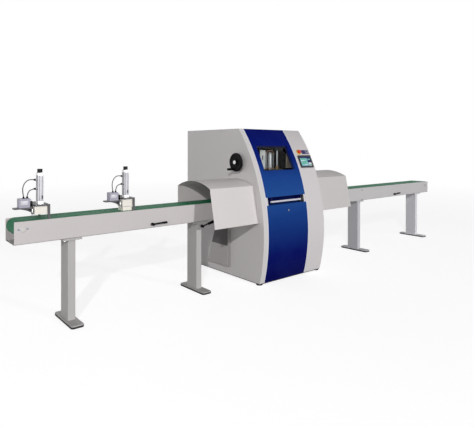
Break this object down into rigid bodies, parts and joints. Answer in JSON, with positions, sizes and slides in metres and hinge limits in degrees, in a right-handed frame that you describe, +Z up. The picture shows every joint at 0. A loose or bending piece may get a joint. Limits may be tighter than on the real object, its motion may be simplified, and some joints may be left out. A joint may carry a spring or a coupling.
{
  "type": "optimizing crosscut saw",
  "caption": "Floor-standing crosscut saw: curved housing with hinged hood and control front, belt infeed with pneumatic pressers, and belt outfeed.",
  "frame": {"origin": "middle of the bounding box, on the floor", "axes": "+X along the feed direction, -Y towards the operator, +Z up"},
  "size_m": [6.6, 1.4842, 1.69],
  "materials": {
    "housing_grey": "satin powder coat",
    "housing_white": "satin powder coat",
    "hood_blue": "gloss paint",
    "hood_white": "satin powder coat",
    "beam_grey": "satin powder coat",
    "leg_grey": "satin powder coat",
    "belt_green": "fine textured",
    "bracket_grey": "satin powder coat",
    "shoe_cream": "matte",
    "cylinder_silver": "anodised",
    "valve_lilac": "satin",
    "hose_grey": "smooth",
    "black_plastic": "moulded",
    "screen_black": "glossy",
    "stop_red": "glossy",
    "button_blue": "glossy",
    "ring_yellow": "glossy",
    "machined_steel": "machined",
    "blade_steel": "ground",
    "frame_dark": "satin paint",
    "cast_grey": "painted casting",
    "table_iron": "ground top",
    "duct_zinc": "galvanised",
    "pane_clear": "clear",
    "pad_rubber": "moulded",
    "drive_rubber": "ribbed"
  },
  "bodies": {
    "machine": {"angle_gearbox": "cast_grey", "base_frame": "frame_dark", "belt_gearmotors": "cast_grey", "blade_shroud": "duct_zinc", "button_rings": "ring_yellow", "drive_guard": "housing_grey", "dust_spout": "duct_zinc", "handwheel_bearing": "machined_steel", "hinge_pins": "machined_steel", "infeed_beam": "beam_grey", "infeed_belt": "belt_green", "infeed_hood": "hood_white", "infeed_legs": "leg_grey", "infeed_side_panel": "housing_grey", "leg_pads": "pad_rubber", "levelling_feet": "machined_steel", "lower_front_panel": "hood_blue", "outfeed_beam": "beam_grey", "outfeed_belt": "belt_green", "outfeed_hood": "hood_white", "outfeed_legs": "leg_grey", "outfeed_side_panel": "housing_white", "presser_brackets": "bracket_grey", "presser_cylinders": "cylinder_silver", "presser_hoses_inner": "hose_grey", "presser_hoses_outer": "hose_grey", "presser_valves": "valve_lilac", "rear_panel": "housing_grey", "saw_lift": "machined_steel", "saw_table": "table_iron", "top_cover": "housing_grey", "touch_screen": "screen_black", "upper_bridge": "frame_dark"},
    "hood": {"hood_door": "hood_blue", "window_pane": "pane_clear", "hood_handle": "machined_steel"},
    "handwheel": {"handwheel": "black_plastic"},
    "grip": {"handwheel_grip": "black_plastic"},
    "clamp_beam": {"clamp_beam": "frame_dark", "clamp_cylinders": "cylinder_silver"},
    "clamp_shoes": {"clamp_shoes": "machined_steel"},
    "lead_screw": {"lead_screw": "machined_steel"},
    "saw_carriage": {"saw_carriage": "cast_grey", "saw_motor": "cast_grey", "drive_belt": "drive_rubber"},
    "saw_arbor": {"saw_arbor": "machined_steel", "saw_blade": "blade_steel"},
    "motor_pulley": {"motor_pulley": "machined_steel"},
    "infeed_drive_roller": {"infeed_drive_roller": "machined_steel"},
    "infeed_tail_roller": {"infeed_tail_roller": "machined_steel"},
    "outfeed_drive_roller": {"outfeed_drive_roller": "machined_steel"},
    "outfeed_tail_roller": {"outfeed_tail_roller": "machined_steel"},
    "presser_shoe_outer": {"presser_shoe_outer": "shoe_cream"},
    "presser_shoe_inner": {"presser_shoe_inner": "shoe_cream"},
    "infeed_lever": {"infeed_lever": "black_plastic"},
    "leg_lever": {"leg_lever": "black_plastic"},
    "outfeed_lever": {"outfeed_lever": "black_plastic"},
    "stop_button": {"stop_button": "stop_red"},
    "start_button": {"start_button": "button_blue"},
    "cover_latch": {"cover_latch": "machined_steel"}
  },
  "joints": [
    {"name": "hood_lift", "type": "hinge", "parent": "machine", "child": "hood", "pos_m": [-0.55, -0.2899, 1.668], "axis": [-1, 0, 0], "range_deg": [0, 70]},
    {"name": "handwheel_turn", "type": "hinge", "parent": "machine", "child": "handwheel", "pos_m": [-0.985, -0.35086, 1.312], "axis": [1, 0, 0], "range_deg": [0, 2160]},
    {"name": "grip_spin", "type": "hinge", "parent": "handwheel", "child": "grip", "pos_m": [-1.04, -0.30955, 1.2343], "axis": [1, 0, 0], "continuous": true},
    {"name": "clamp_beam_height", "type": "slide", "parent": "machine", "child": "clamp_beam", "axis": [0, 0, 1], "range_m": [0, 0.06]},
    {"name": "lead_screw_spin", "type": "hinge", "parent": "machine", "child": "lead_screw", "pos_m": [-0.692, -0.35086, 1.2], "axis": [0, 0, 1], "range_deg": [0, 2160]},
    {"name": "clamp_press", "type": "slide", "parent": "clamp_beam", "child": "clamp_shoes", "axis": [0, 0, -1], "range_m": [0, 0.095]},
    {"name": "saw_stroke", "type": "slide", "parent": "machine", "child": "saw_carriage", "axis": [0, 0, 1], "range_m": [0, 0.2]},
    {"name": "blade_spin", "type": "hinge", "parent": "saw_carriage", "child": "saw_arbor", "pos_m": [-0.46, -0.27786, 0.59], "axis": [1, 0, 0], "continuous": true},
    {"name": "motor_spin", "type": "hinge", "parent": "saw_carriage", "child": "motor_pulley", "pos_m": [-0.14, -0.27786, 0.35], "axis": [1, 0, 0], "continuous": true},
    {"name": "infeed_drive_spin", "type": "hinge", "parent": "machine", "child": "infeed_drive_roller", "pos_m": [-0.626, -0.27936, 0.8364], "axis": [0, 1, 0], "continuous": true},
    {"name": "infeed_tail_spin", "type": "hinge", "parent": "machine", "child": "infeed_tail_roller", "pos_m": [-3.234, -0.27936, 0.8364], "axis": [0, 1, 0], "continuous": true},
    {"name": "outfeed_drive_spin", "type": "hinge", "parent": "machine", "child": "outfeed_drive_roller", "pos_m": [-0.024, -0.27936, 0.8364], "axis": [0, 1, 0], "continuous": true},
    {"name": "outfeed_tail_spin", "type": "hinge", "parent": "machine", "child": "outfeed_tail_roller", "pos_m": [3.234, -0.27936, 0.8364], "axis": [0, 1, 0], "continuous": true},
    {"name": "presser_outer_stroke", "type": "slide", "parent": "machine", "child": "presser_shoe_outer", "axis": [0, 0, 1], "range_m": [-0.052, 0]},
    {"name": "presser_inner_stroke", "type": "slide", "parent": "machine", "child": "presser_shoe_inner", "axis": [0, 0, 1], "range_m": [0, 0.052]},
    {"name": "infeed_lever_turn", "type": "hinge", "parent": "machine", "child": "infeed_lever", "pos_m": [-2.09, -0.43186, 0.752], "axis": [0, 1, 0], "range_deg": [-60, 60]},
    {"name": "leg_lever_turn", "type": "hinge", "parent": "machine", "child": "leg_lever", "pos_m": [-1.514, -0.43186, 0.67], "axis": [0, 1, 0], "range_deg": [-60, 60]},
    {"name": "outfeed_lever_turn", "type": "hinge", "parent": "machine", "child": "outfeed_lever", "pos_m": [2.213, -0.43186, 0.752], "axis": [0, 1, 0], "range_deg": [-60, 60]},
    {"name": "stop_press", "type": "slide", "parent": "machine", "child": "stop_button", "axis": [0, 0.8778, -0.4789], "range_m": [0, 0.004], "stiffness_N_per_m": 800, "springref_m": -0.003},
    {"name": "start_press", "type": "slide", "parent": "machine", "child": "start_button", "axis": [0, 0.8778, -0.4789], "range_m": [0, 0.003], "stiffness_N_per_m": 600, "springref_m": -0.003},
    {"name": "latch_turn", "type": "hinge", "parent": "machine", "child": "cover_latch", "pos_m": [-0.545, -0.72271, 0.781], "axis": [0, -0.9898, 0.1426], "range_deg": [0, 90]}
  ],
  "couplings": [
    {"joint": "handwheel_turn", "follows": "clamp_beam_height", "rad_per_m": 628.32},
    {"joint": "lead_screw_spin", "follows": "clamp_beam_height", "rad_per_m": 628.32},
    {"joint": "motor_spin", "follows": "blade_spin", "ratio": 0.75},
    {"joint": "infeed_tail_spin", "follows": "infeed_drive_spin", "ratio": 1},
    {"joint": "outfeed_tail_spin", "follows": "outfeed_drive_spin", "ratio": 1}
  ]
}
